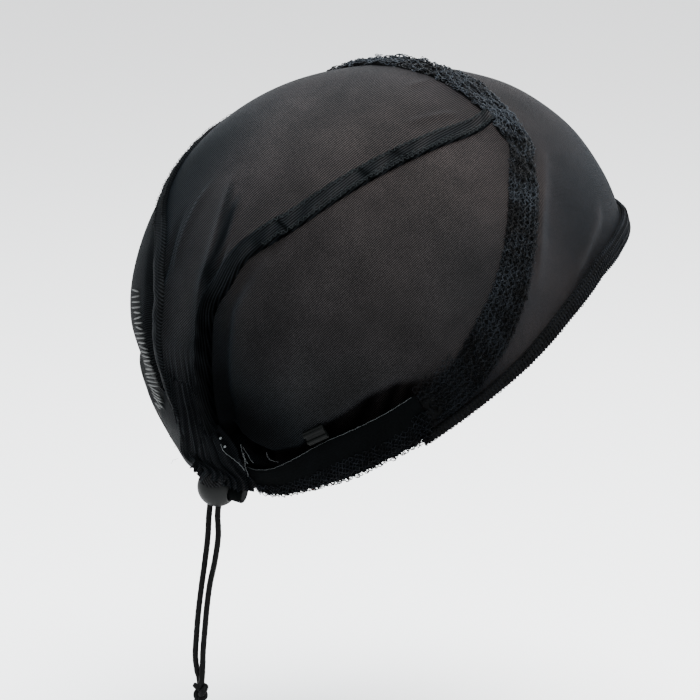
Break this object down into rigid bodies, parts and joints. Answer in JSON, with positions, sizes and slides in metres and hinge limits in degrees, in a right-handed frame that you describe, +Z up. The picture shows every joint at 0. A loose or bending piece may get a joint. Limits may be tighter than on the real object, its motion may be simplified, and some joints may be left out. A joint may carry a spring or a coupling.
{
  "type": "wig cap",
  "caption": "Sheer mesh wig cap with a lace band from ear to ear, a knitted front hem, straps to a gathered nape and a ball cord lock on a drawcord.",
  "frame": {"origin": "highest point of the inside of the crown, where the cap rests on a head", "axes": "+Z up out of the crown; -Y towards the face, +Y towards the nape; -X towards the wearer's right ear"},
  "size_m": [0.1578, 0.1869, 0.2149],
  "materials": {
    "mesh": "sheer dark brown-black stretch mesh",
    "lace": "black stretch lace and knitted trim",
    "elastic": "black woven elastic",
    "cord": "braided black cord",
    "plastic": "satin black plastic"
  },
  "bodies": {
    "cap": {"front_panel": "mesh", "side_panel_right": "mesh", "side_panel_left": "mesh", "back_panel": "mesh", "lace_band": "lace", "front_hem": "lace", "back_seam_right": "lace", "back_seam_left": "lace", "rim_lace_right": "lace", "rim_lace_left": "lace", "strap_right": "elastic", "strap_left": "elastic", "slider_right": "plastic", "slider_left": "plastic", "nape_casing": "mesh", "nape_ruffle": "mesh", "cord_lock_body": "plastic", "drawcord_right": "cord", "drawcord_left": "cord", "cord_knot": "cord"},
    "button": {"cord_lock_plunger": "plastic"}
  },
  "joints": [
    {"name": "button_press", "type": "slide", "parent": "cap", "child": "button", "axis": [0.8897, 0.4149, 0.1908], "range_m": [0, 0.0015], "stiffness_N_per_m": 300}
  ]
}
